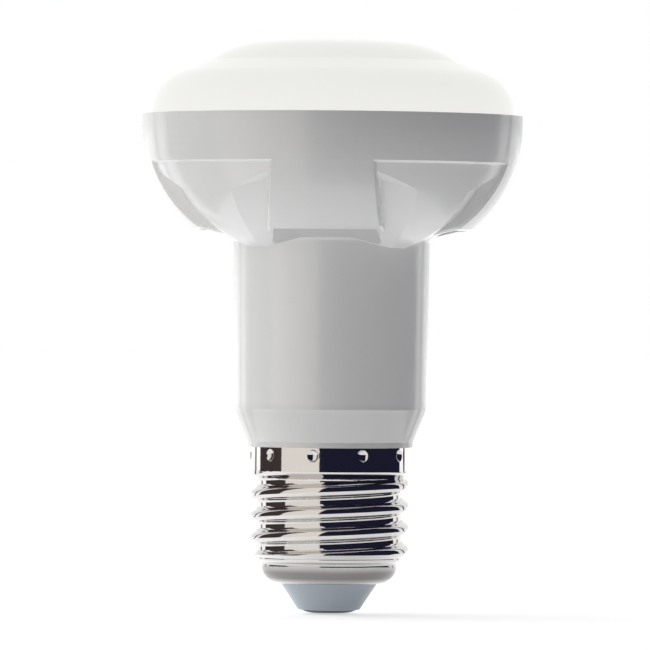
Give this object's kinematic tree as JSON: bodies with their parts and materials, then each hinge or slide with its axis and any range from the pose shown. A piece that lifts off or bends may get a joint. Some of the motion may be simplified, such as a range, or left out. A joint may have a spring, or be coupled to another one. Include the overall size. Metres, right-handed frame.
{
  "type": "led light bulb",
  "caption": "Reflector-shaped LED lamp: opal domed diffuser on a white bowl with raised pads, a plain neck and a plated screw cap with a centre contact.",
  "frame": {"origin": "centre of the centre contact's flat lower face, the lowest point of the cap", "axes": "+Z along the lamp's axis from the cap to the diffuser, +X and +Y through the middles of two of the bowl's raised pads"},
  "size_m": [0.063, 0.063, 0.0952],
  "materials": {
    "opal_diffuser": "satin opal polycarbonate",
    "white_housing": "satin white moulded plastic, fine texture",
    "plated_shell": "bright nickel plating on rolled sheet",
    "grey_insulator": "glossy blue-grey moulding",
    "contact_metal": "dull plated contact",
    "spreader_aluminium": "bare pressed sheet",
    "board_white": "white solder mask on a metal core",
    "led_phosphor": "white package with a yellow phosphor face",
    "screw_steel": "zinc-plated",
    "driver_laminate": "green solder mask",
    "ferrite": "matt sintered ferrite",
    "winding_tape": "yellow polyester tape",
    "capacitor_sleeve": "dark shrink sleeve",
    "film_box": "red-brown moulded box",
    "copper_winding": "enamelled copper on a drum core",
    "chip_epoxy": "black moulded package",
    "fuse_coat": "grey-green flameproof coat",
    "live_insulation": "brown insulation",
    "neutral_insulation": "blue insulation",
    "negative_insulation": "black insulation",
    "positive_insulation": "red insulation"
  },
  "bodies": {
    "root": {"diffuser": "opal_diffuser", "housing": "white_housing", "screw_shell": "plated_shell", "cap_insulator": "grey_insulator", "centre_contact": "contact_metal", "heat_spreader": "spreader_aluminium", "led_board": "board_white", "led_01": "led_phosphor", "led_02": "led_phosphor", "led_03": "led_phosphor", "led_04": "led_phosphor", "led_05": "led_phosphor", "led_06": "led_phosphor", "led_07": "led_phosphor", "led_08": "led_phosphor", "led_09": "led_phosphor", "led_10": "led_phosphor", "led_11": "led_phosphor", "led_12": "led_phosphor", "board_screws": "screw_steel", "driver_board": "driver_laminate", "transformer_core": "ferrite", "transformer_winding": "winding_tape", "input_capacitor": "capacitor_sleeve", "output_capacitor": "capacitor_sleeve", "film_capacitor": "film_box", "choke": "copper_winding", "bridge_rectifier": "chip_epoxy", "driver_chip": "chip_epoxy", "fuse_resistor": "fuse_coat", "live_wire": "live_insulation", "neutral_wire": "neutral_insulation", "led_wire_negative": "negative_insulation", "led_wire_positive": "positive_insulation"}
  },
  "joints": []
}
